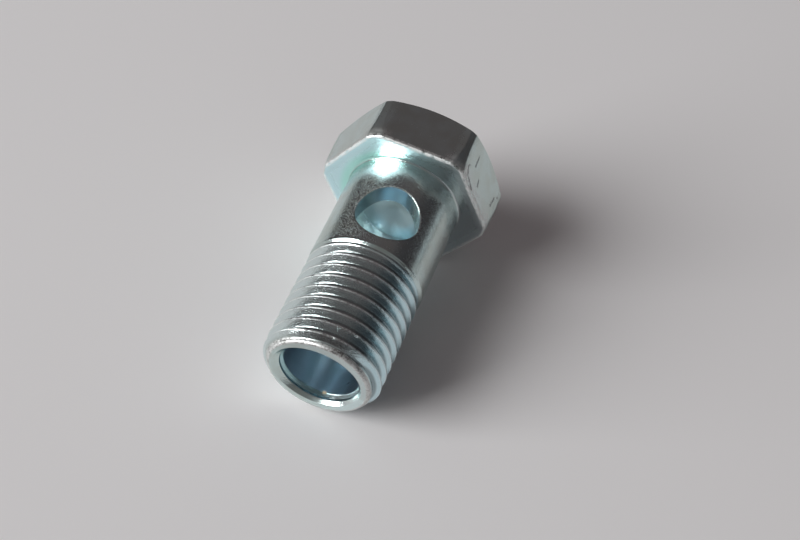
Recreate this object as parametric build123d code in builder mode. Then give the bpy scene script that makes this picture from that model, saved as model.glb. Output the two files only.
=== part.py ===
"""Banjo bolt: a hollow hexagon bolt that carries fluid through a banjo fitting.

The bolt is one solid. It lies on a flat surface, touching it with the seat edge of its lowest flat
and with its thread where the tip begins to taper, so its axis dips a little towards the tip. Lengths u
are measured along the axis from the seat, the flat face under the head, towards the tip. The thread
itself is a plain cylinder of its crest diameter. Millimetres, +Z up.
"""
from build123d import *
from math import atan2, cos, radians, sin, sqrt, tan
import os

# Thread and shank
thread_diameter = 13.9
shank_diameter = 14.0
shank_length = 27.7
plain_length = 13.0
thread_step_length = 0.7
seat_fillet = 0.3
tip_diameter = 12.6
tip_taper_length = 1.1
tip_rounding = 0.2

# Head
across_flats = 19.0
head_height = 7.0
corner_radius = 1.6
crown_inset = 0.63
crown_angle = 30.0
seat_edge_break = 0.25

# Fluid passages
bore_diameter = 9.0
bore_past_cross_hole = 2.15
pilot_diameter = 5.4
pilot_point_angle = 150.0
lip_step = 0.08
lip_depth = 1.65
mouth_flare = 0.6
mouth_depth = 0.85
cross_hole_diameter = 7.5
cross_hole_to_thread = 5.0
cross_hole_edge_break = 0.15

# Radii that the profiles use
shank_radius = shank_diameter / 2
thread_radius = thread_diameter / 2
tip_radius = tip_diameter / 2
tip_face_radius = tip_radius - tip_rounding
flat_distance = across_flats / 2
crown_radius = flat_distance - crown_inset
bore_radius = bore_diameter / 2
pilot_radius = pilot_diameter / 2
lip_radius = bore_radius + lip_step
mouth_radius = lip_radius + mouth_flare

# Places along the axis, from the seat
thread_start = plain_length + thread_step_length
rounding_start = shank_length - tip_rounding
taper_start = rounding_start - tip_taper_length
cross_hole_from_seat = plain_length - cross_hole_to_thread
bore_end = cross_hole_from_seat - cross_hole_diameter / 2 - bore_past_cross_hole

# Resting pose: the line from the seat edge of a flat to the thread where the tip tapers is level
tilt = atan2(flat_distance - thread_radius, taper_start + seat_edge_break)

# The seat centre is lifted until the flat's edge touches z = 0, and set back to centre the bolt in Y
seat_height = flat_distance * cos(tilt) - seat_edge_break * sin(tilt)
head_end_y = head_height * cos(tilt) + crown_radius * sin(tilt)
tip_end_y = rounding_start * cos(tilt) + tip_face_radius * sin(tilt) + tip_rounding
seat_y = (tip_end_y - head_end_y) / 2

axis_direction = Vector(0, -cos(tilt), -sin(tilt))
top_flat_direction = Vector(0, -sin(tilt), cos(tilt))
seat = Plane(origin=(0, seat_y, seat_height), x_dir=(1, 0, 0), z_dir=axis_direction)
section = Plane(origin=seat.origin, x_dir=(1, 0, 0), z_dir=-top_flat_direction)
bolt_axis = Axis(seat.origin, axis_direction)
cross_hole_centre = seat.origin + axis_direction * cross_hole_from_seat
cross_plane = Plane(origin=cross_hole_centre, x_dir=(1, 0, 0), z_dir=top_flat_direction)

with BuildPart() as banjo_bolt:
    # Hexagon head, one flat facing up
    with BuildSketch(seat):
        RegularPolygon(radius=flat_distance, side_count=6, major_radius=False)
        fillet(vertices(), corner_radius)
    extrude(amount=-head_height)

    # Broken edge round the seat
    seat_face = faces().sort_by(bolt_axis)[-1]
    chamfer(seat_face.edges(), seat_edge_break)

    # Crown: a cone trims the corners at the far end of the head
    corner_reach = across_flats / sqrt(3) + 1
    crown_drop = (corner_reach - crown_radius) * tan(radians(crown_angle))
    with BuildSketch(section):
        with BuildLine():
            Polyline(
                (crown_radius, -head_height),
                (corner_reach, -head_height),
                (corner_reach, crown_drop - head_height),
                close=True,
            )
        make_face()
    revolve(axis=bolt_axis, mode=Mode.SUBTRACT)

    # Shank: a small fillet under the head, a plain length, the thread's cylinder and a tapered tip
    with BuildSketch(section):
        with BuildLine():
            Line((0, 0), (shank_radius + seat_fillet, 0))
            RadiusArc((shank_radius + seat_fillet, 0), (shank_radius, seat_fillet), seat_fillet)
            Polyline(
                (shank_radius, seat_fillet),
                (shank_radius, plain_length),
                (thread_radius, thread_start),
                (thread_radius, taper_start),
                (tip_radius, rounding_start),
            )
            RadiusArc((tip_radius, rounding_start), (tip_face_radius, shank_length), -tip_rounding)
            Polyline((tip_face_radius, shank_length), (0, shank_length), (0, 0))
        make_face()
    revolve(axis=bolt_axis)

    # Bore from the tip: countersunk mouth, a short wider lip, then the bored length, which ends past
    # the cross hole in a flat face with the pilot drill's shallow point
    pilot_point = pilot_radius / tan(radians(pilot_point_angle / 2))
    with BuildSketch(section):
        with BuildLine():
            Polyline(
                (0, bore_end - pilot_point),
                (pilot_radius, bore_end),
                (bore_radius, bore_end),
                (bore_radius, shank_length - lip_depth),
                (lip_radius, shank_length - lip_depth),
                (lip_radius, shank_length - mouth_depth),
                (mouth_radius, shank_length),
                (0, shank_length),
                close=True,
            )
        make_face()
    revolve(axis=bolt_axis, mode=Mode.SUBTRACT)

    # Cross hole through both walls, square to the top flat, with its outer rims broken
    with BuildSketch(cross_plane):
        Circle(cross_hole_diameter / 2)
    extrude(amount=shank_radius + 1, both=True, mode=Mode.SUBTRACT)
    cross_axis = Axis(cross_hole_centre, top_flat_direction)
    hole_edges = edges().filter_by(GeomType.BSPLINE).filter_by_position(
        bolt_axis,
        cross_hole_from_seat - cross_hole_diameter / 2,
        cross_hole_from_seat + cross_hole_diameter / 2,
    )
    outer_rims = hole_edges.sort_by(cross_axis)[0::3]
    chamfer(outer_rims, cross_hole_edge_break)

banjo_bolt.part.label = "banjo_bolt"

os.makedirs("parts", exist_ok=True)
export_step(banjo_bolt.part, "parts/banjo_bolt.step")
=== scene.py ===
"""Banjo bolt lying on a pale floor: one piece of zinc-plated steel with its helical thread.

The bolt is shaped in its own frame, in millimetres: x to the right, y square to the top flat, and u
along the axis from the seat under the head to the tip. One matrix then lays it in the shared frame.
"""
from math import asin, ceil, cos, hypot, pi, radians, sin, sqrt, tan
from types import SimpleNamespace

import bmesh
import bpy
from mathutils import Matrix, Vector


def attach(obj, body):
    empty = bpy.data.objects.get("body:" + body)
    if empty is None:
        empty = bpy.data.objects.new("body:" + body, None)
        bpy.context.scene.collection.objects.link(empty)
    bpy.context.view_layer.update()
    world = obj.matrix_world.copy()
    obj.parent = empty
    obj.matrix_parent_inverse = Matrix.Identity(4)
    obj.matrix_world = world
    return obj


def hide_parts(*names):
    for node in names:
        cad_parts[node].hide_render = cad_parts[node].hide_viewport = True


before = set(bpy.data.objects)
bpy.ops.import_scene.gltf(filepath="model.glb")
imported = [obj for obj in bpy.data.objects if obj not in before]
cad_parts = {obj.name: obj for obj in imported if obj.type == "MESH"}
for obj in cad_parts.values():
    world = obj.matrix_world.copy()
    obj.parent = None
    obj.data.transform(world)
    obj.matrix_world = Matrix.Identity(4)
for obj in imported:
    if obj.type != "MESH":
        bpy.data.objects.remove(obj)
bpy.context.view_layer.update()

MM = 0.001

# Shank and tip
SHANK_RADIUS = 7.0
SHANK_LENGTH = 27.7
PLAIN_LENGTH = 13.0
SEAT_FILLET = 0.3
TIP_RADIUS = 6.08
TIP_TAPER_LENGTH = 0.65
TIP_ROUNDING = 0.35

# Thread, rolled on a blank that is thinner than the plain length. Its strip has the crest in the
# middle, and the crest's place is taken on top, a quarter turn round
PITCH = 1.6
CREST_RADIUS = 6.95
GROOVE_DEPTH = 0.84
CREST_WIDTH = 0.16
CREST_ROUNDING = 0.06
ROOT_ROUNDING = 0.08
FLANK_SLOPE = 1.732
CREST_PLACE = 20.14
TOP_TURN = 0.25
STRIP_MIDDLE = 0.5
BLANK_RADIUS = 6.7
SHOULDER_PLACE = 0.08
SHOULDER_LENGTH = 0.45
FULL_FORM_LENGTH = 0.5
TAPER_ROUNDING = 0.05
RIM_BLEND_LENGTH = 0.125

# Head; the corners reach further at the crown than at the seat
ACROSS_FLATS = 19.0
SIDE_FLAT = (0.866, 0.5)
HEAD_HEIGHT = 7.0
CORNER_REACH = (10.72, 10.4)
CORNER_BLEND = 0.5
CORNER_CUT_START = 0.3
CROWN_INSET = 0.63
CROWN_ANGLE = radians(30)
CROWN_MIDDLE_RADIUS = 1.5
SEAT_EDGE_BREAK = 0.25

# Bore, its pilot point and the cross hole
BORE_RADIUS = 4.5
BORE_END = 2.1
BORE_END_EDGE = 0.1
BORE_MIDDLE = 19.0
PILOT_RADIUS = 2.7
PILOT_DEPTH = 0.72
PILOT_STEP = 0.05
PILOT_POINT_RADIUS = 0.2
HOLE_RADIUS = 3.75
HOLE_PLACE = 8.0
HOLE_RIM = 0.14

# Countersunk mouth, a little off the axis, and the ringed lip below it
MOUTH_RADIUS = 5.15
MOUTH_EDGE = 0.04
MOUTH_ROUNDING = 0.14
MOUTH_ANGLE = radians(36)
MOUTH_DEPTH = 0.5
MOUTH_SHIFT = (-0.15, -0.09)
MOUTH_OVAL = (0.036, -0.036)
MOUTH_SHIFT_LOST = 0.9
MOUTH_STEP = 0.06
LIP_RADIUS = 4.72
LIP_FOOT_RADIUS = BORE_RADIUS + 0.02
LIP_DEPTHS = (0.8, 1.25)
LIP_RINGS = 3
LIP_RING_HEIGHT = 0.03
BELOW_LIP = (0.05, 0.2)

# Mesh steps: columns round the axis, and the rectangles round the cross hole's two ends
COLUMNS = 180
OUTER_HALF_COLUMNS = 22
OUTER_HALF_ROWS = 36
INNER_HALF_COLUMNS = 34
INNER_HALF_ROWS = 24
PATCH_REACH = 4.8
THREAD_ROWS = 24
RING_ROWS = 4
WELD = 0.001
SHARP_ANGLE = radians(38)

# Mesh steps of the roundings
SEAT_EDGE_STEPS = 4
FILLET_STEPS = 5
HOLE_RIM_STEPS = 5
MOUTH_STEPS = 6
TIP_STEPS = 8

# Rows between two outlines, as shares of the way, and along the shank
CROWN_ROWS = (0, 0.3, 0.6, 0.9, 0.98, 1)
CONE_ROWS = (0, 0.06, 0.5, 0.94, 1)
FLAT_ROWS = (0, 0.03, 0.2, 0.35, 0.5, 0.65, 0.8, 0.97, 1)
SEAT_ROWS = (0, 0.04, 0.3, 0.6, 0.96, 1)
PATCH_ROWS = (0, 0.15, 0.3, 0.45, 0.6, 0.75, 0.88, 0.96, 1)
HOLE_WALL_ROWS = (0, 0.05, 0.2, 0.4, 0.6, 0.8, 0.97, 1)
MOUTH_ROWS = (0.05, 0.5, 0.95, 1)
SHANK_ROWS = (SEAT_FILLET, SEAT_FILLET + 0.15, 1.8, HOLE_PLACE - PATCH_REACH)

# Places that follow from the sizes
flat_distance = ACROSS_FLATS / 2
crown_radius = flat_distance - CROWN_INSET
tip_face_radius = TIP_RADIUS - TIP_ROUNDING
rounding_start = SHANK_LENGTH - TIP_ROUNDING
mouth_end = SHANK_LENGTH - MOUTH_DEPTH
lip_end = SHANK_LENGTH - LIP_DEPTHS[1]

# How it lies: on the seat edge of one flat and on its last full crest
TILT = radians(5.4657)
SEAT_CENTRE = Vector((0, 10.1715, 9.4330))
axis = Vector((0, -cos(TILT), -sin(TILT)))
top = Vector((0, -sin(TILT), cos(TILT)))
lay_down = Matrix.Scale(MM, 4) @ Matrix(
    (
        (1, top.x, axis.x, SEAT_CENTRE.x),
        (0, top.y, axis.y, SEAT_CENTRE.y),
        (0, top.z, axis.z, SEAT_CENTRE.z),
        (0, 0, 0, 1),
    )
)

# Grain of the steel, as noise settings
CLOUD = {"Scale": 0.45, "Detail": 3.0, "Roughness": 0.5}
BLOTCH = {"Scale": 1.6, "Detail": 3.0, "Roughness": 0.6}
GRAIN = {"Scale": 6.0, "Detail": 2.0, "Roughness": 0.7}
SPECKS = {"Scale": 10.0, "Detail": 2.0, "Roughness": 0.6}

# Fades of the masks on the steel: the place where a mask is 0, then the place where it is 1.
# Along the axis
HEAD_START = (0.02, -0.02)
CROWN_START = (-6.7, -6.9)
SEAT_FACE = (-0.05, -0.01)
CORNER_WEAR_START = (-1.7, -0.9)
SCUFF_START = (-2.6, -0.6)
SHANK_START = (0.5, 2.0)
SHANK_END = (PLAIN_LENGTH, PLAIN_LENGTH - 0.3)
DRILLED_END = (12.5, 12.2)
BURR_START = (HOLE_PLACE, HOLE_PLACE + 1.5)
RIM_WEAR_END = (HOLE_PLACE + 2.6, HOLE_PLACE + 1.0)
# painted shade: where the cross hole's wall turns darker towards the head
HOLE_WALL_SHADE_CHANGE = (HOLE_PLACE + 0.6, HOLE_PLACE - 0.6)
BLIND_END_START = (BORE_END + 0.3, BORE_END + 0.1)
# painted light: where the bore turns near-white towards the cross hole and the head
DEEP_BORE_LIGHT_START = (14.0, 12.0)
BORE_MOUTH = (lip_end, lip_end - 0.1)
LIP_FOOT = (lip_end - 0.15, lip_end - 0.05)
LIP_TOP = (mouth_end, mouth_end - 0.1)
THREAD_START = (PLAIN_LENGTH + 0.3, PLAIN_LENGTH + 0.7)
THREAD_END = (27.2, 26.9)
CHAMFER_START = (26.8, 27.1)
TIP_START = (26.9, 27.1)
TIP_RIM_START = (27.1, 27.3)

# Out from the axis, and out to the flats
SEAT_INNER_EDGE = (SHANK_RADIUS + 0.05, SHANK_RADIUS + 0.15)
SEAT_TINT_EDGE = (8.6, 7.5)
SEAT_DULL_EDGE = (8.0, 8.9)
SEAT_RIM_EDGE = (9.02, 9.14)
SCUFF_EDGE = (9.3, 9.42)
CORNER_EDGE = (10.25, 10.5)
CORNER_WEAR_EDGE = (10.0, 10.2)
CREST_EDGE = (CREST_RADIUS - 0.12, CREST_RADIUS - 0.03)
DRILLED_EDGE = (SHANK_RADIUS - 0.07, SHANK_RADIUS - 0.14)
HOLE_RIM_EDGE = (SHANK_RADIUS - 0.3, SHANK_RADIUS - 0.2)
BURR_EDGE = (SHANK_RADIUS - 0.4, SHANK_RADIUS - 0.3)
HOLE_WALL_EDGE = (BORE_RADIUS + 0.02, BORE_RADIUS + 0.12)
BORE_EDGE = (BORE_RADIUS + 0.2, BORE_RADIUS + 0.1)
LIP_EDGE = (LIP_RADIUS + 0.1, LIP_RADIUS + 0.02)
TIP_RIM_INNER_EDGE = (5.65, 5.8)

# Across, from left to right, and down
LEFT_SIDE = (0.5, -3.0)
RIGHT_SIDE = (3.5, 5.5)
LIT_HOLE_WALL = (1.4, 3.0)
# painted light: where the thread changes from its paler lit left to its darker right
THREAD_LIGHT_CHANGE = (1.0, 5.0)
TIP_TINT_CHANGE = (-1.0, 4.0)
SEAT_TINT_CHANGE = (-1.0, 5.0)
# painted shade: where the lip turns dark on its left
LIP_SHADE_SIDE = (2.5, 0.5)
SCUFF_RIGHT = (3.0, 6.0)
SCUFF_LOW = (-3.0, -5.0)

# Worn lines: where the middle of each lies, and its half width as a fade
SEAT_RIM_PLACE = -0.16
SEAT_RIM_WIDTH = (0.4, 0.26)
RIM_WEAR_REACH = HOLE_RADIUS + 0.12
RIM_WEAR_WIDTH = (0.11, 0.04)
BURR_REACH = HOLE_RADIUS + 0.1
BURR_WIDTH = (0.11, 0.05)

# Painted shade: dark lines laid in the thread's roots, and a dark band by the chamfer, as shares of
# a pitch, counted from a crest
GROOVE_SHADE_MIDDLE = 0.52
GROOVE_SHADE_LEAN = 0.12
GROOVE_SHADE_WIDTH = (0.22, 0.12)
CHAMFER_MIDDLE = 0.25
CHAMFER_WIDTH = (0.25, 0.45)

# Levels of the noise where patches of it begin
CLOUD_LEVEL = (0.35, 0.65)
SPECK_LEVEL = (0.53, 0.63)
RUBBED_LEVEL = (0.7, 1.1)
SCUFF_LEVEL = (0.7, 0.9)
STAIN_LEVEL = (0.85, 0.7)
RIM_WEAR_LEVEL = (0.36, 0.5)

# How much of each kind of wear shows, and how far the grain makes its edges ragged
CREST_WEAR = 0.6
CORNER_WEAR = 0.45
RIM_WEAR = 0.5
RIM_WEAR_RIGHT = 0.4
CHAMFER_STAIN = 0.5
PATCH_BLOTCH = 0.6
SEAT_RIM_RAGGEDNESS = 0.5
SEAT_RIM_EDGE_RAGGEDNESS = 0.4
BURR_RAGGEDNESS = 0.3

# Roughness and bumps of the plating
ROUGHNESS = 0.18
BLOTCH_ROUGHNESS = 0.14
BUMP_HEIGHT = 0.025
GRAIN_BUMPS = 0.3
THREAD_BUMPS = 0.35
LEFT_BUMPS = 0.5
CROWN_SMOOTHNESS = 0.75
SPARK_HEIGHT = 4

# Small marks on the steel: how large, and where
NICK_SIZE = 0.2
NICKS = ((6.33, 8.04, -2.08), (10.39, 1.01, -4.93))
SCRATCH_WIDTH = 0.19
SCRATCHES = (
    ((6.88, 7.08, -4.62), (6.93, 7.0, -3.06)),
    ((6.26, 8.16, -1.76), (6.53, 7.68, -0.89)),
    ((6.53, 7.68, -0.89), (7.45, 6.09, -0.42)),
    ((7.78, 5.52, -2.54), (7.93, 5.26, -1.87)),
    ((10.09, 1.53, -4.2), (9.99, 1.69, -2.84)),
)
PIT_SIZE = 0.16
PITS = ((-0.89, 0.65, 2.05), (3.01, -3.34, 24.79))
SPARK_SIZE = 0.24
SPARKS = ((0.75, 6.8, 26.45), (2.81, 6.35, 25.12), (3.53, 5.98, 25.35), (4.5, 5.28, 25.22))
RUST_SIZE = 0.36
RUST = ((0.9, -4.55, 26.38),)
METAL_HIDDEN_BY_RUST = 0.8
MARK_EDGE = 0.6
MARK_RAGGEDNESS = 1.6
SCRATCH_EDGE = 0.4
SCRATCH_RAGGEDNESS = 5

# Tints of the steel; where there are two, the second is blended over the first
PLATING_TINTS = ((0.60, 0.69, 0.66, 1), (0.64, 0.76, 0.75, 1))
# the thread paler on its lit left side, painted light, and darker and bluer on its right, painted
# shade with a bluer tint
THREAD_LIT_AND_SHADED_TINTS = ((0.80, 0.90, 0.90, 1), (0.60, 0.80, 0.86, 1))
# painted shade, laid in the thread's roots
GROOVE_SHADE_TINT = (0.16, 0.19, 0.20, 1)
TIP_TINT = (0.74, 0.87, 0.87, 1)
SEAT_TINTS = ((0.65, 0.87, 0.92, 1), (0.50, 0.86, 0.80, 1))
SEAT_RIGHT_TINT = (0.57, 0.63, 0.65, 1)
BORE_TINT = (0.72, 0.87, 0.97, 1)
# painted light: the bore near-white by the cross hole, where light comes in
DEEP_BORE_LIGHT_TINT = (0.90, 1.0, 1.0, 1)
# the cross hole's wall, then its head side painted darker as painted shade
HOLE_WALL_TINT_AND_SHADE = ((0.56, 0.76, 0.83, 1), (0.40, 0.57, 0.62, 1))
LIT_HOLE_WALL_TINT = (0.94, 1.0, 1.0, 1)
# painted light on the bore's blind end, seen through the cross hole
BLIND_END_LIGHT_TINT = (0.78, 0.97, 1.0, 1)
# painted shade on the lip's left side, inside the mouth
LIP_SHADE_TINT = (0.34, 0.56, 0.60, 1)
SCUFF_TINT = (0.68, 0.66, 0.67, 1)
RUBBED_TINT = (0.88, 0.88, 0.87, 1)
STAIN_TINT = (0.36, 0.33, 0.32, 1)
NICK_TINT = (0.10, 0.11, 0.12, 1)
RUST_TINT = (0.36, 0.26, 0.14, 1)

# Floor: pale paper on a dark table, with its edges as a direction and a reach in millimetres
FLOOR_SIZE = 3
PAPER_EDGES = ((-1, 0, 190), (1, 0, 230), (0, -1, 62), (-0.5, 0.866, 75))
PAPER_FADE = 24
PAPER_TINT = (0.86, 0.85, 0.855, 1)
TABLE_TINT = (0.02, 0.02, 0.02, 1)

# Camera, its places in millimetres
CAMERA_PLACE = Vector((16.98, -108.36, 128.01))
CAMERA_AIM = Vector((3.408, -1.058, 10.0))
CAMERA_ROLL = radians(16.058)
CAMERA_LENS = 62.6
CAMERA_SENSOR = 36
CAMERA_CLIP = (0.01, 20)

# Lamp like a window, its sizes in millimetres
WINDOW_DIRECTION = Vector((-0.69, -0.575, 0.43))
WINDOW_DISTANCE = 2400
WINDOW_SIZE = (1392, 1600)
WINDOW_POWER = 72

# Dim room round the table: left and right, then what is lighter over the front and low on the right
ROOM_TINTS = ((0.1, 0.082, 0.084, 1), (0.045, 0.039, 0.042, 1))
ROOM_CHANGE = (0.25, 0.65)
FRONT_TINT = (0.16, 0.155, 0.155, 1)
FRONT_SIDE = (0.0, -0.3)
FRONT_HEIGHT = (0.2, 0.4)
LOW_RIGHT_TINT = (0.47, 0.49, 0.51, 1)
LOW_RIGHT_SIDE = (0.3, 0.5)
LOW_RIGHT_HEIGHT = (0.15, 0.08)


class Wire:
    """A node's output that sums are written with, in shader trees and geometry trees alike."""

    def __init__(self, graph, socket):
        self.graph = graph
        self.socket = socket

    def maths(self, operation, *others):
        return self.graph.maths(operation, self, *others)

    def __add__(self, other):
        return self.graph.maths("ADD", self, other)

    def __radd__(self, other):
        return self.graph.maths("ADD", other, self)

    def __sub__(self, other):
        return self.graph.maths("SUBTRACT", self, other)

    def __rsub__(self, other):
        return self.graph.maths("SUBTRACT", other, self)

    def __mul__(self, other):
        return self.graph.maths("MULTIPLY", self, other)

    def __rmul__(self, other):
        return self.graph.maths("MULTIPLY", other, self)

    def __truediv__(self, other):
        return self.graph.maths("DIVIDE", self, other)

    def __rtruediv__(self, other):
        return self.graph.maths("DIVIDE", other, self)

    def __abs__(self):
        return self.maths("ABSOLUTE")

    def most(self, other):
        return self.maths("MAXIMUM", other)

    def least(self, other):
        return self.maths("MINIMUM", other)


class Graph:
    """A node tree whose nodes are made by one method."""

    def __init__(self, tree):
        self.tree = tree
        tree.nodes.clear()

    def node(self, kind, settings=None, inputs=(), output=0):
        made = self.tree.nodes.new(kind)
        for name, value in (settings or {}).items():
            setattr(made, name, value)
        pairs = inputs.items() if isinstance(inputs, dict) else enumerate(inputs)
        for key, value in pairs:
            socket = self.find(made.inputs, key)
            if isinstance(value, Wire):
                self.tree.links.new(value.socket, socket)
            else:
                socket.default_value = value
        return Wire(self, self.find(made.outputs, output)) if made.outputs else made

    def find(self, sockets, key):
        """The socket in use with that name; a Mix node keeps one set for each kind of data."""
        if isinstance(key, int):
            return sockets[key]
        return next(socket for socket in sockets if socket.name == key and socket.enabled)

    def pick(self, wire, output):
        return Wire(self, wire.socket.node.outputs[output])

    def maths(self, operation, *values):
        return self.node("ShaderNodeMath", {"operation": operation}, values)

    def vector(self, operation, first, second, output="Vector"):
        settings = {"operation": operation}
        return self.node("ShaderNodeVectorMath", settings, [first, second], output)

    def parts(self, point):
        """A point's three coordinates."""
        spot = self.node("ShaderNodeSeparateXYZ", inputs=[point])
        return [self.pick(spot, name) for name in "XYZ"]

    def step(self, value, low, high):
        """0 at low and beyond it, 1 at high and beyond it, and a smooth change between them."""
        return self.node(
            "ShaderNodeMapRange",
            {"interpolation_type": "SMOOTHSTEP"},
            {"Value": value, "From Min": low, "From Max": high},
            output="Result",
        )

    def blend(self, first, second, factor):
        return self.node(
            "ShaderNodeMix",
            {"data_type": "RGBA"},
            {"Factor": factor, "A": first, "B": second},
            output="Result",
        )


def shader_graph(owner):
    """The empty shader tree of a material or a world."""
    owner.use_nodes = True
    return Graph(owner.node_tree)


def add_object(name, data):
    made = bpy.data.objects.new(name, data)
    bpy.context.scene.collection.objects.link(made)
    return made


def point_on_bolt(graph):
    """Where a point of the steel lies: in the bolt's frame, and from its axis, hole and crests."""
    at = SimpleNamespace()
    at.place = graph.node(
        "ShaderNodeMapping",
        {"vector_type": "POINT"},
        {
            "Vector": graph.node("ShaderNodeTexCoord", output="Object"),
            "Location": (0, -top.dot(SEAT_CENTRE), -axis.dot(SEAT_CENTRE)),
            "Rotation": (-pi / 2 - TILT, 0, 0),
            "Scale": (1 / MM, 1 / MM, 1 / MM),
        },
    )
    at.x, at.y, at.u = graph.parts(at.place)
    at.radius = (at.x * at.x + at.y * at.y).maths("SQRT")
    at.flat_reach = abs(at.y).most(abs(at.x) * SIDE_FLAT[0] + abs(at.y) * SIDE_FLAT[1])
    from_hole = at.u - HOLE_PLACE
    at.hole_reach = (at.x * at.x + from_hole * from_hole).maths("SQRT")
    turn = at.y.maths("ARCTAN2", at.x) / (2 * pi)
    at.from_crest = ((at.u - CREST_PLACE) / PITCH + TOP_TURN - turn).maths("FRACT")
    return at


def steel_grain(graph, at):
    """Noises of the rolled and plated surface, from coarse to fine."""

    def noise(sizes):
        inputs = {"Vector": at.place, "Distortion": 0.0, **sizes}
        return graph.node("ShaderNodeTexNoise", inputs=inputs)

    grain = SimpleNamespace()
    grain.cloud = noise(CLOUD)
    grain.blotch = noise(BLOTCH)
    grain.fine = noise(GRAIN)
    grain.ragged = grain.fine - 0.5
    grain.specks = graph.step(noise(SPECKS), *SPECK_LEVEL)
    return grain


def bolt_parts(graph, at):
    """Masks, from 0 to 1, of the bolt's parts."""
    on = SimpleNamespace()
    on.left = graph.step(at.x, *LEFT_SIDE)
    on.right = graph.step(at.x, *RIGHT_SIDE)
    on.head = graph.step(at.u, *HEAD_START)
    on.crown = graph.step(at.u, *CROWN_START)
    on.corner = on.head * graph.step(at.radius, *CORNER_EDGE)
    on.seat = graph.step(at.radius, *SEAT_INNER_EDGE) * graph.step(at.u, *SEAT_FACE)

    drilled = graph.step(at.radius, *DRILLED_EDGE) * graph.step(at.u, *DRILLED_END)
    drilled = drilled * (1 - on.head)
    bore = graph.step(at.radius, *BORE_EDGE) * graph.step(at.u, *BORE_MOUTH)
    on.inside = drilled.most(bore * (1 - on.head))
    on.hole_wall = drilled * graph.step(at.radius, *HOLE_WALL_EDGE)
    on.lit_hole_wall = graph.step(at.x, *LIT_HOLE_WALL)
    on.blind_end = on.inside * graph.step(at.u, *BLIND_END_START)
    on.lip = graph.step(at.radius, *LIP_EDGE) * graph.step(at.u, *LIP_TOP)
    on.lip = on.lip * graph.step(at.u, *LIP_FOOT) * (1 - on.inside)

    on.shank = graph.step(at.u, *SHANK_START) * graph.step(at.u, *SHANK_END) * (1 - on.inside)
    on.thread = graph.step(at.u, *THREAD_START) * graph.step(at.u, *THREAD_END) * (1 - on.inside)
    on.crest = on.thread * graph.step(at.radius, *CREST_EDGE)
    # painted shade: a dark line along each root of the thread, shifted on the right side
    from_groove = abs(at.from_crest + on.right * GROOVE_SHADE_LEAN - GROOVE_SHADE_MIDDLE)
    on.groove = on.thread * graph.step(from_groove, *GROOVE_SHADE_WIDTH)
    from_chamfer = abs(at.from_crest - CHAMFER_MIDDLE)
    on.chamfer = graph.step(at.u, *CHAMFER_START) * graph.step(from_chamfer, *CHAMFER_WIDTH)
    on.tip = graph.step(at.u, *TIP_START) * (1 - bore)
    on.tip_rim = graph.step(at.u, *TIP_RIM_START) * graph.step(at.radius, *TIP_RIM_INNER_EDGE)
    return on


def marks(graph, at, grain, size, points):
    """Ragged spots round the points."""
    shown = None
    for point in points:
        apart = graph.vector("DISTANCE", at.place, point, "Value")
        edge = apart + grain.ragged * size * MARK_RAGGEDNESS
        mark = graph.step(edge, size, size * MARK_EDGE)
        shown = mark if shown is None else shown.most(mark)
    return shown


def scratch(graph, at, grain, width, start, end):
    """A ragged line from start to end."""
    start, end = Vector(start), Vector(end)
    along = (end - start).normalized()
    from_start = graph.vector("SUBTRACT", at.place, start)
    reached = graph.vector("DOT_PRODUCT", from_start, along, "Value")
    reached = reached.most(0.0).least((end - start).length)
    moved = graph.node("ShaderNodeCombineXYZ", inputs=[reached * part for part in along])
    nearest = graph.vector("ADD", moved, start)
    apart = graph.vector("DISTANCE", at.place, nearest, "Value")
    edge = apart + grain.ragged * width * SCRATCH_RAGGEDNESS
    return graph.step(edge, width, width * SCRATCH_EDGE)


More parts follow.
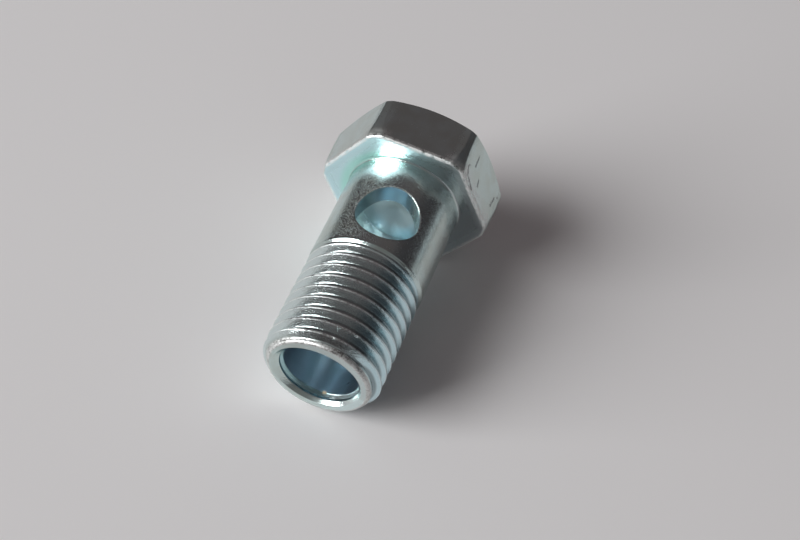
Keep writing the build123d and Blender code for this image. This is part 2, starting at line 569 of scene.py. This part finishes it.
def steel_wear(graph, at, grain, on):
    """Masks of what rolling, drilling, handling and damp have left on the plating."""
    worn = SimpleNamespace()

    # Edges that handling has rubbed: crests, the seat's rim, the head's corners, the holes' rims
    from_rim = abs(at.u - SEAT_RIM_PLACE + grain.ragged * SEAT_RIM_RAGGEDNESS)
    rim_reach = at.flat_reach + grain.ragged * SEAT_RIM_EDGE_RAGGEDNESS
    seat_rim = graph.step(from_rim, *SEAT_RIM_WIDTH) * graph.step(rim_reach, *SEAT_RIM_EDGE)
    corner_wear = on.head * graph.step(at.radius, *CORNER_WEAR_EDGE)
    corner_wear = corner_wear * graph.step(at.u, *CORNER_WEAR_START)
    rim_wear = graph.step(abs(at.hole_reach - RIM_WEAR_REACH), *RIM_WEAR_WIDTH)
    rim_wear = rim_wear * graph.step(at.radius, *HOLE_RIM_EDGE)
    rim_wear = rim_wear * graph.step(at.u, *RIM_WEAR_END) * graph.step(grain.fine, *RIM_WEAR_LEVEL)
    rim_wear = rim_wear * (RIM_WEAR + on.right * RIM_WEAR_RIGHT)
    worn.rubbed = (on.crest * CREST_WEAR).most(seat_rim).most(corner_wear * CORNER_WEAR)
    worn.rubbed = worn.rubbed.most(rim_wear).most(on.tip_rim)
    worn.rubbed = worn.rubbed * graph.step(grain.fine + grain.blotch, *RUBBED_LEVEL)

    patches = grain.fine + grain.blotch * PATCH_BLOTCH
    worn.scuffed = on.head * graph.step(at.flat_reach, *SCUFF_EDGE)
    worn.scuffed = worn.scuffed * graph.step(at.u, *SCUFF_START)
    worn.scuffed = worn.scuffed * (graph.step(at.x, *SCUFF_RIGHT) + graph.step(at.y, *SCUFF_LOW))
    worn.scuffed = worn.scuffed * graph.step(patches, *SCUFF_LEVEL)
    worn.stained = on.tip_rim * graph.step(patches, *STAIN_LEVEL) + on.chamfer * CHAMFER_STAIN

    from_burr = abs(at.hole_reach - BURR_REACH + grain.ragged * BURR_RAGGEDNESS)
    worn.burr = graph.step(from_burr, *BURR_WIDTH)
    worn.burr = worn.burr * graph.step(at.radius, *BURR_EDGE) * graph.step(at.u, *BURR_START)
    worn.nicked = marks(graph, at, grain, NICK_SIZE, NICKS)
    for start, end in SCRATCHES:
        worn.nicked = worn.nicked.most(scratch(graph, at, grain, SCRATCH_WIDTH, start, end))
    worn.nicked = worn.nicked.most(marks(graph, at, grain, PIT_SIZE, PITS))
    worn.sparks = marks(graph, at, grain, SPARK_SIZE, SPARKS)
    worn.rust = marks(graph, at, grain, RUST_SIZE, RUST)
    return worn


def steel_colour(graph, at, grain, on, worn):
    """The plating's tint, part by part, with painted light and painted shade on some parts, and
    over it what wear has left.
    """
    # painted light and shade: the thread paler on the left, darker and bluer on the right
    thread_lit_and_shaded_tint = graph.blend(*THREAD_LIT_AND_SHADED_TINTS, graph.step(at.x, *THREAD_LIGHT_CHANGE))
    seat_tint = graph.blend(*SEAT_TINTS, graph.step(at.radius, *SEAT_TINT_EDGE) * on.left)
    seat_tint = graph.blend(seat_tint, SEAT_RIGHT_TINT, graph.step(at.x, *SEAT_TINT_CHANGE))
    # the cross hole's wall with painted shade on its head side and painted light on its right side
    wall_shade_and_light = graph.blend(*HOLE_WALL_TINT_AND_SHADE, graph.step(at.u, *HOLE_WALL_SHADE_CHANGE))
    wall_shade_and_light = graph.blend(wall_shade_and_light, LIT_HOLE_WALL_TINT, on.lit_hole_wall)
    colour = graph.blend(*PLATING_TINTS, graph.step(grain.cloud, *CLOUD_LEVEL))
    for tint, shown in (
        (thread_lit_and_shaded_tint, on.thread * 0.9),
        # painted shade in the thread's roots
        (GROOVE_SHADE_TINT, on.groove * 0.7),
        (TIP_TINT, on.tip * graph.step(at.x, *TIP_TINT_CHANGE)),
        (seat_tint, on.seat),
        (BORE_TINT, on.inside),
        # painted light deep in the bore, and below on its blind end
        (DEEP_BORE_LIGHT_TINT, on.inside * graph.step(at.u, *DEEP_BORE_LIGHT_START)),
        (wall_shade_and_light, on.hole_wall),
        (BLIND_END_LIGHT_TINT, on.blind_end),
        # painted shade on the lip's left side
        (LIP_SHADE_TINT, on.lip * graph.step(at.x, *LIP_SHADE_SIDE) * 0.8),
        (SCUFF_TINT, worn.scuffed * 0.6),
        (RUBBED_TINT, worn.rubbed * 0.8),
        (STAIN_TINT, worn.stained * 0.5),
        (NICK_TINT, worn.nicked * 0.8 + worn.burr * 0.6),
        (RUST_TINT, worn.rust * 0.85),
    ):
        colour = graph.blend(colour, tint, shown)
    return colour


def steel_roughness(graph, at, grain, on, worn):
    """Glossy plating, with what its parts, wear and specks add to its roughness."""
    roughness = ROUGHNESS + (grain.blotch - 0.5) * BLOTCH_ROUGHNESS * (1 - on.inside)
    for shown, added in (
        (on.inside, 0.07),
        (on.hole_wall, 0.06 - on.lit_hole_wall * 0.12),
        (on.blind_end, 0.16),
        (on.corner, 0.12),
        (on.seat, 0.06 + graph.step(at.flat_reach, *SEAT_DULL_EDGE) * 0.16),
        (on.tip, 0.03),
        (worn.rubbed, 0.32),
        (worn.scuffed, 0.1),
        (grain.specks * on.shank, on.left * 0.5 + on.right * 0.3 + 0.08),
        (grain.specks * on.head * (1 - on.seat), 0.07),
    ):
        roughness = roughness + shown * added
    return roughness


def steel_bumps(grain, on, worn):
    """Grain and blotches, none inside and few on the crown, with a few raised sparks."""
    strength = GRAIN_BUMPS + on.thread * THREAD_BUMPS + on.left * (1 - on.head) * LEFT_BUMPS
    bumps = (grain.fine * strength + grain.blotch) * (1 - on.inside)
    return bumps * (1 - on.crown * CROWN_SMOOTHNESS) + worn.sparks * SPARK_HEIGHT


def steel_material():
    """Bright zinc plating with a blue-white passivation, glossy, and paler where it is rubbed."""
    material = bpy.data.materials.new("zinc_plated_steel")
    graph = shader_graph(material)
    at = point_on_bolt(graph)
    grain = steel_grain(graph, at)
    on = bolt_parts(graph, at)
    worn = steel_wear(graph, at, grain, on)
    relief = {"Strength": 1.0, "Distance": BUMP_HEIGHT * MM, "Height": steel_bumps(grain, on, worn)}
    surface = graph.node(
        "ShaderNodeBsdfPrincipled",
        inputs={
            "Base Color": steel_colour(graph, at, grain, on, worn),
            "Metallic": 1 - worn.rust * METAL_HIDDEN_BY_RUST,
            "Roughness": steel_roughness(graph, at, grain, on, worn),
            "Normal": graph.node("ShaderNodeBump", inputs=relief),
        },
    )
    graph.node("ShaderNodeOutputMaterial", inputs={"Surface": surface})
    return material


def floor_material():
    """Pale matt paper that ends softly on a dark table, well away from the bolt."""
    material = bpy.data.materials.new("pale_paper")
    graph = shader_graph(material)
    x, y, _ = graph.parts(graph.node("ShaderNodeTexCoord", output="Object"))
    paper = 1.0
    for x_share, y_share, reach in PAPER_EDGES:
        inward = reach * MM - x * x_share - y * y_share
        paper = graph.step(inward, -PAPER_FADE * MM / 2, PAPER_FADE * MM / 2) * paper
    colour = graph.blend(TABLE_TINT, PAPER_TINT, paper)
    surface = graph.node("ShaderNodeBsdfDiffuse", inputs={"Color": colour})
    graph.node("ShaderNodeOutputMaterial", inputs={"Surface": surface})
    return material


def thread_sizes():
    """The sizes of the threaded length, under the names of its tree's inputs."""
    crest_offset = TOP_TURN + STRIP_MIDDLE
    turns_back = ceil((CREST_PLACE - crest_offset * PITCH - PLAIN_LENGTH) / PITCH) + 1
    strip_start = CREST_PLACE - (crest_offset + turns_back) * PITCH
    return {
        "Pitch": PITCH,
        "Turns": ceil((rounding_start - strip_start) / PITCH),
        "Strip start": strip_start,
        "Thread start": PLAIN_LENGTH,
        "Thread end": rounding_start,
        "Shank radius": SHANK_RADIUS,
        "Crest radius": CREST_RADIUS,
        "Groove depth": GROOVE_DEPTH,
        "Crest width": CREST_WIDTH,
        "Crest rounding": CREST_ROUNDING,
        "Root rounding": ROOT_ROUNDING,
        "Flank slope": FLANK_SLOPE,
        "Blank radius": BLANK_RADIUS,
        "Shoulder place": SHOULDER_PLACE,
        "Shoulder length": SHOULDER_LENGTH,
        "Full form length": FULL_FORM_LENGTH,
        "Tip radius": TIP_RADIUS,
        "Tip taper length": TIP_TAPER_LENGTH,
        "Taper rounding": TAPER_ROUNDING,
        "Rim blend length": RIM_BLEND_LENGTH,
        "Columns": COLUMNS,
        "Rows": THREAD_ROWS,
    }


def thread_radius(size, across, place):
    """The thread's radius at a share of the way across its strip and a place along the axis."""
    # Crest in the middle of the strip, straight flanks and a root, with rounded corners
    from_crest = abs(across - STRIP_MIDDLE) * size["Pitch"] - size["Crest width"] / 2
    flank = size["Crest radius"] - from_crest * size["Flank slope"]
    root = size["Crest radius"] - size["Groove depth"]
    full = flank.maths("SMOOTH_MAX", root, size["Root rounding"])
    full = full.maths("SMOOTH_MIN", size["Crest radius"], size["Crest rounding"])

    # The form grows out of the blank after a shoulder
    inside = place - size["Thread start"] - size["Shoulder place"]
    growth = (inside - size["Shoulder length"]) / size["Full form length"]
    radius = size["Blank radius"] + (full - size["Blank radius"]) * growth.most(0.0).least(1.0)

    # It runs out through the tip's taper
    left = size["Thread end"] - place
    slope = left * (size["Crest radius"] - size["Tip radius"]) / size["Tip taper length"]
    taper = size["Tip radius"] + slope
    radius = radius.maths("SMOOTH_MIN", taper, size["Taper rounding"])

    # A smooth shoulder leads down from the shank, and both ends are plain circles
    shoulder = (inside / size["Shoulder length"]).most(0.0).least(1.0)
    shoulder = (1 + (shoulder * pi).maths("COSINE")) / 2
    radius = radius + (size["Shank radius"] - radius) * shoulder
    rim_blend = (left / size["Rim blend length"]).least(1.0)
    return size["Tip radius"] + (radius - size["Tip radius"]) * rim_blend


def thread_tree(steel, sizes):
    """The threaded length as one helical strip of rows, from a plain circle to a plain circle."""
    tree = bpy.data.node_groups.new("threaded_length", "GeometryNodeTree")
    tree.is_modifier = True
    for name, value in sizes.items():
        kind = "NodeSocketInt" if isinstance(value, int) else "NodeSocketFloat"
        tree.interface.new_socket(name, in_out="INPUT", socket_type=kind)
    tree.interface.new_socket("Geometry", in_out="OUTPUT", socket_type="NodeSocketGeometry")
    graph = Graph(tree)
    given = graph.node("NodeGroupInput")
    size = {name: graph.pick(given, name) for name in sizes}

    strip = graph.node(
        "GeometryNodeMeshGrid",
        inputs={
            "Size X": 1.0,
            "Size Y": 1.0,
            "Vertices X": size["Turns"] * size["Columns"] + 1,
            "Vertices Y": size["Rows"] + 1,
        },
    )
    x, y, _ = graph.parts(graph.node("GeometryNodeInputPosition"))
    turn = (x + 0.5) * size["Turns"]
    across = y + 0.5
    place = size["Strip start"] + size["Pitch"] * (turn + across)
    place = place.most(size["Thread start"]).least(size["Thread end"])
    radius = thread_radius(size, across, place)
    angle = turn * (2 * pi)
    moved = graph.node(
        "ShaderNodeCombineXYZ",
        inputs=[radius * angle.maths("COSINE"), radius * angle.maths("SINE"), place],
    )
    strip = graph.node("GeometryNodeSetPosition", inputs={"Geometry": strip, "Position": moved})
    strip = graph.node("GeometryNodeMergeByDistance", inputs={"Geometry": strip, "Distance": WELD})
    strip = graph.node("GeometryNodeRealizeInstances", inputs={"Geometry": strip})
    strip = graph.node("GeometryNodeSetMaterial", inputs={"Geometry": strip, "Material": steel})
    graph.node("NodeGroupOutput", inputs={"Geometry": strip})
    return tree


def threaded_length(steel):
    """The thread's mesh, made by its geometry nodes."""
    sizes = thread_sizes()
    holder = add_object("thread_strip", bpy.data.meshes.new("thread_strip"))
    modifier = holder.modifiers.new("thread", "NODES")
    modifier.node_group = thread_tree(steel, sizes)
    for item in modifier.node_group.interface.items_tree:
        if item.in_out == "INPUT":
            modifier[item.identifier] = sizes[item.name]
    shown = holder.evaluated_get(bpy.context.evaluated_depsgraph_get())
    mesh = bpy.data.meshes.new_from_object(shown)
    holder.modifiers.clear()
    bpy.data.objects.remove(holder)
    return mesh


class Shell:
    """Points and faces of the bolt's skin, gathered strip by strip."""

    def __init__(self):
        self.points = []
        self.faces = []

    def grid(self, rows, closed=True):
        """Quads between neighbouring rows of points; closed joins each row's end to its start."""
        start = len(self.points)
        count = len(rows[0])
        for row in rows:
            self.points.extend(row)
        for r in range(len(rows) - 1):
            for c in range(count if closed else count - 1):
                here = start + r * count
                after = (c + 1) % count
                self.faces.append((here + c, here + after, here + count + after, here + count + c))

    def cap(self, row, centre):
        """Triangles from a row of points to one point."""
        start = len(self.points)
        self.points.extend(row)
        self.points.append(centre)
        for c in range(len(row)):
            self.faces.append((start + c, start + (c + 1) % len(row), start + len(row)))


def circle(radius, u, columns=range(COLUMNS)):
    step = 2 * pi / COLUMNS
    return [(radius * cos(step * c), radius * sin(step * c), u) for c in columns]


def quarter_turn(steps):
    """Angles from 0 to 90 degrees, in even steps."""
    return [step / steps * pi / 2 for step in range(steps + 1)]


def rows_between(first, last, shares):
    """Rows of points at the shares of the straight way from the first row to the last."""
    return [
        [tuple(a + (b - a) * share for a, b in zip(p, q)) for p, q in zip(first, last)]
        for share in shares
    ]


def hexagon(inset, u, reach=CORNER_REACH[1]):
    """The hexagon's outline moved in by inset, with its corners cut square at the reach."""
    row = []
    per_side = COLUMNS // 6
    per_corner = per_side // 5
    flat = flat_distance - CORNER_BLEND
    cut = reach - CORNER_BLEND
    half_cut = (flat - cut * cos(pi / 6)) / sin(pi / 6)
    half_flat = cut * sin(pi / 6) - half_cut * cos(pi / 6)
    for c in range(COLUMNS):
        side, step = divmod(c + per_corner, per_side)
        corner = side * pi / 3
        if step < 2 * per_corner:
            # A bend, the cut corner and another bend
            share = step / (2 * per_corner) * 3
            along = half_cut * (2 * min(max(share - 1, 0), 1) - 1)
            turn = corner + (min(share, 1) - 1 + max(share - 2, 0)) * pi / 6
            x = cut * cos(corner) - along * sin(corner) + (CORNER_BLEND - inset) * cos(turn)
            y = cut * sin(corner) + along * cos(corner) + (CORNER_BLEND - inset) * sin(turn)
        else:
            share = (step - 2 * per_corner) / (per_side - 2 * per_corner)
            along = half_flat * (2 * share - 1)
            face = corner + pi / 6
            x = (flat_distance - inset) * cos(face) - along * sin(face)
            y = (flat_distance - inset) * sin(face) + along * cos(face)
        row.append((x, y, u))
    return row


def add_head(shell):
    """Hexagon head: flat top, crown cone, flats, broken seat edge, seat and fillet."""
    middle = circle(CROWN_MIDDLE_RADIUS, -HEAD_HEIGHT)
    rim = circle(crown_radius, -HEAD_HEIGHT)
    shell.cap(middle, (0, 0, -HEAD_HEIGHT))
    shell.grid(rows_between(middle, rim, CROWN_ROWS))
    crown_foot = [
        (x, y, (hypot(x, y) - crown_radius) * tan(CROWN_ANGLE) - HEAD_HEIGHT)
        for x, y, _ in hexagon(0, 0, CORNER_REACH[0])
    ]
    shell.grid(rows_between(rim, crown_foot, CONE_ROWS))

    # The corners are cut further in towards the seat
    flats = []
    for share in FLAT_ROWS:
        cut = max(0, (share - CORNER_CUT_START) / (1 - CORNER_CUT_START)) ** 2
        reach = CORNER_REACH[0] + (CORNER_REACH[1] - CORNER_REACH[0]) * cut
        outline = zip(hexagon(0, -SEAT_EDGE_BREAK, reach), crown_foot)
        flats.append([(x, y, foot + (u - foot) * share) for (x, y, u), (_, _, foot) in outline])
    shell.grid(flats)
    edge = [
        hexagon(SEAT_EDGE_BREAK * (1 - cos(turn)), SEAT_EDGE_BREAK * (sin(turn) - 1))
        for turn in quarter_turn(SEAT_EDGE_STEPS)
    ]
    shell.grid(edge)
    fillet_foot = circle(SHANK_RADIUS + SEAT_FILLET, 0)
    shell.grid(rows_between(edge[-1], fillet_foot, SEAT_ROWS))
    fillet = [
        circle(SHANK_RADIUS + SEAT_FILLET * (1 - sin(turn)), SEAT_FILLET * (1 - cos(turn)))
        for turn in quarter_turn(FILLET_STEPS)
    ]
    shell.grid(fillet)


def patch_edge(half_columns, half_rows):
    """Steps round the rectangle about the cross hole, each as an angle and a rise along u."""
    steps = [(half_columns, r) for r in range(0, half_rows)]
    steps += [(c, half_rows) for c in range(half_columns, -half_columns, -1)]
    steps += [(-half_columns, r) for r in range(half_rows, -half_rows, -1)]
    steps += [(c, -half_rows) for c in range(-half_columns, half_columns)]
    steps += [(half_columns, r) for r in range(-half_rows, 0)]
    return [(c * 2 * pi / COLUMNS, r / half_rows * PATCH_REACH) for c, r in steps]


def add_drilled_wall(shell, radius, half_columns, half_rows, hole_radius):
    """A cylinder's length about the cross hole: plain sides, and a patch round each end of it."""
    quarter = COLUMNS // 4
    places = [HOLE_PLACE + r / half_rows * PATCH_REACH for r in range(-half_rows, half_rows + 1)]
    edge = patch_edge(half_columns, half_rows)
    for side in (1, -1):
        first = quarter * side + half_columns
        last = first + 2 * (quarter - half_columns)
        shell.grid([circle(radius, u, range(first, last + 1)) for u in places], closed=False)
        rows = []
        for share in PATCH_ROWS:
            row = []
            for k, (turn, rise) in enumerate(edge):
                around = 2 * pi * k / len(edge)
                hole_turn = asin(hole_radius * cos(around) / radius)
                hole_rise = hole_radius * sin(around)
                angle = side * pi / 2 + turn + (hole_turn - turn) * share
                u = HOLE_PLACE + rise + (hole_rise - rise) * share
                row.append((radius * cos(angle), radius * sin(angle), u))
            rows.append(row)
        shell.grid(rows)


def hole_ring(side, count, hole_radius, cylinder_radius, depth):
    """The line where the cross hole meets a cylinder, moved in by the depth."""
    row = []
    for k in range(count):
        around = 2 * pi * k / count
        across = hole_radius * cos(around)
        out = sqrt(cylinder_radius**2 - across**2) - depth
        row.append((-side * across, side * out, HOLE_PLACE + hole_radius * sin(around)))
    return row


def add_hole_walls(shell):
    """The cross hole's wall at both ends, from its broken outer rim to the bore."""
    count = len(patch_edge(OUTER_HALF_COLUMNS, OUTER_HALF_ROWS))
    for side in (1, -1):
        rim = []
        for turn in quarter_turn(HOLE_RIM_STEPS):
            radius = HOLE_RADIUS + HOLE_RIM * (1 - sin(turn))
            rim.append(hole_ring(side, count, radius, SHANK_RADIUS, HOLE_RIM * (1 - cos(turn))))
        shell.grid(rim)
        inner = hole_ring(side, count, HOLE_RADIUS, BORE_RADIUS, 0)
        shell.grid(rows_between(rim[-1], inner, HOLE_WALL_ROWS))


def mouth_ring(radius, u, share=1):
    """A ring of the mouth, moved off the axis by a share of the countersink's shift."""
    wide, tall = (1 + part * share for part in MOUTH_OVAL)
    across, up = (part * share for part in MOUTH_SHIFT)
    return [(x * wide + across, y * tall + up, u) for x, y, u in circle(radius, u)]


def mouth_rows():
    """The countersink: its rounded edge and its cone, down to the lip."""
    rows = [mouth_ring(MOUTH_RADIUS + MOUTH_EDGE, SHANK_LENGTH)]
    for step in range(MOUTH_STEPS + 1):
        turn = MOUTH_ANGLE * step / MOUTH_STEPS
        cone_radius = MOUTH_RADIUS - MOUTH_ROUNDING * sin(turn)
        cone_place = SHANK_LENGTH - MOUTH_ROUNDING * (1 - cos(turn))
        rows.append(mouth_ring(cone_radius, cone_place))
    for share in MOUTH_ROWS:
        radius = cone_radius + (LIP_RADIUS - cone_radius) * share
        place = cone_place + (mouth_end - cone_place) * share
        rows.append(mouth_ring(radius, place, 1 - share * MOUTH_SHIFT_LOST))
    return rows


def lip_rows():
    """The lip, with the fine rings that the drill left, down to the bore."""
    rows = [circle(LIP_RADIUS, mouth_end - MOUTH_STEP)]
    steps = RING_ROWS * LIP_RINGS
    for step in range(steps + 1):
        share = step / steps
        ring = LIP_RING_HEIGHT * sin(2 * pi * LIP_RINGS * share)
        depth = LIP_DEPTHS[0] + (LIP_DEPTHS[1] - LIP_DEPTHS[0]) * share
        reached = LIP_RADIUS + (LIP_FOOT_RADIUS - LIP_RADIUS) * share
        rows.append(circle(reached - ring, SHANK_LENGTH - depth))
    return rows


def add_tip_and_bore(shell):
    """The tip's rounding and flat ring, the mouth, the lip, the bore and its blind end."""
    rows = [
        circle(
            tip_face_radius + TIP_ROUNDING * cos(turn),
            SHANK_LENGTH - TIP_ROUNDING * (1 - sin(turn)),
        )
        for turn in quarter_turn(TIP_STEPS)
    ]
    rows += mouth_rows() + lip_rows()
    rows += [circle(BORE_RADIUS, lip_end - below) for below in BELOW_LIP]
    rows += [circle(BORE_RADIUS, u) for u in (BORE_MIDDLE, HOLE_PLACE + PATCH_REACH)]
    shell.grid(rows)
    pilot_end = BORE_END - PILOT_DEPTH
    blind_end = (
        (BORE_RADIUS, HOLE_PLACE - PATCH_REACH),
        (BORE_RADIUS, BORE_END + BORE_END_EDGE),
        (BORE_RADIUS, BORE_END),
        (BORE_RADIUS - BORE_END_EDGE, BORE_END),
        (PILOT_RADIUS, BORE_END - PILOT_STEP),
        (PILOT_RADIUS / 2, BORE_END - PILOT_DEPTH / 2),
        (PILOT_POINT_RADIUS, pilot_end),
    )
    shell.grid([circle(radius, u) for radius, u in blind_end])
    shell.cap(circle(PILOT_POINT_RADIUS, pilot_end), (0, 0, pilot_end))


def bolt(steel):
    """The whole bolt as one closed skin."""
    shell = Shell()
    add_head(shell)
    shell.grid([circle(SHANK_RADIUS, u) for u in SHANK_ROWS])
    add_drilled_wall(
        shell, SHANK_RADIUS, OUTER_HALF_COLUMNS, OUTER_HALF_ROWS, HOLE_RADIUS + HOLE_RIM
    )
    shell.grid([circle(SHANK_RADIUS, u) for u in (HOLE_PLACE + PATCH_REACH, PLAIN_LENGTH)])
    add_hole_walls(shell)
    add_tip_and_bore(shell)
    add_drilled_wall(shell, BORE_RADIUS, INNER_HALF_COLUMNS, INNER_HALF_ROWS, HOLE_RADIUS)

    mesh = bpy.data.meshes.new("banjo_bolt_steel")
    mesh.from_pydata(shell.points, [], shell.faces)
    thread = threaded_length(steel)
    skin = bmesh.new()
    skin.from_mesh(mesh)
    skin.from_mesh(thread)
    bmesh.ops.remove_doubles(skin, verts=skin.verts, dist=WELD)
    bmesh.ops.recalc_face_normals(skin, faces=skin.faces)
    skin.to_mesh(mesh)
    skin.free()
    bpy.data.meshes.remove(thread)
    mesh.transform(lay_down)
    mesh.materials.clear()
    mesh.materials.append(steel)
    mesh.polygons.foreach_set("material_index", [0] * len(mesh.polygons))
    mesh.shade_smooth()
    mesh.set_sharp_from_angle(angle=SHARP_ANGLE)
    return add_object("banjo_bolt_steel", mesh)


def add_camera():
    """The view over the tip, turned a little about its own axis."""
    data = bpy.data.cameras.new("camera")
    data.lens = CAMERA_LENS
    data.sensor_width = CAMERA_SENSOR
    data.clip_start, data.clip_end = CAMERA_CLIP
    seen_from = add_object("camera", data)
    turn = (CAMERA_AIM - CAMERA_PLACE).to_track_quat("-Z", "Y").to_matrix().to_4x4()
    roll = Matrix.Rotation(CAMERA_ROLL, 4, "Z")
    seen_from.matrix_world = Matrix.Translation(CAMERA_PLACE * MM) @ turn @ roll
    bpy.context.scene.camera = seen_from


def add_floor():
    bpy.ops.mesh.primitive_plane_add(size=FLOOR_SIZE)
    floor = bpy.context.object
    floor.name = "floor"
    floor.data.materials.append(floor_material())


def add_window():
    """A window-like lamp at the front left."""
    lamp = bpy.data.lights.new("window", "AREA")
    lamp.shape = "RECTANGLE"
    lamp.size, lamp.size_y = (side * MM for side in WINDOW_SIZE)
    lamp.energy = WINDOW_POWER
    lit_from = add_object("window", lamp)
    lit_from.location = WINDOW_DIRECTION.normalized() * WINDOW_DISTANCE * MM
    lit_from.rotation_euler = (-WINDOW_DIRECTION).to_track_quat("-Z", "Y").to_euler()


def add_room():
    """Dim surroundings, a little lighter over the front and pale low on the right."""
    world = bpy.data.worlds.new("dim_room")
    graph = shader_graph(world)
    across, back, up = graph.parts(graph.node("ShaderNodeTexCoord", output="Generated"))
    colour = graph.blend(*ROOM_TINTS, graph.step(across, *ROOM_CHANGE))
    over_front = graph.step(back, *FRONT_SIDE) * graph.step(up, *FRONT_HEIGHT)
    colour = graph.blend(colour, FRONT_TINT, over_front)
    low_right = graph.step(across, *LOW_RIGHT_SIDE) * graph.step(up, *LOW_RIGHT_HEIGHT)
    colour = graph.blend(colour, LOW_RIGHT_TINT, low_right)
    glow = graph.node("ShaderNodeBackground", inputs={"Color": colour})
    graph.node("ShaderNodeOutputWorld", inputs={"Surface": glow})
    bpy.context.scene.world = world


steel = steel_material()
piece = bolt(steel)
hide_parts("banjo_bolt")
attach(piece, "root")
add_camera()
add_floor()
add_window()
add_room()
bpy.context.scene.view_settings.view_transform = "Standard"
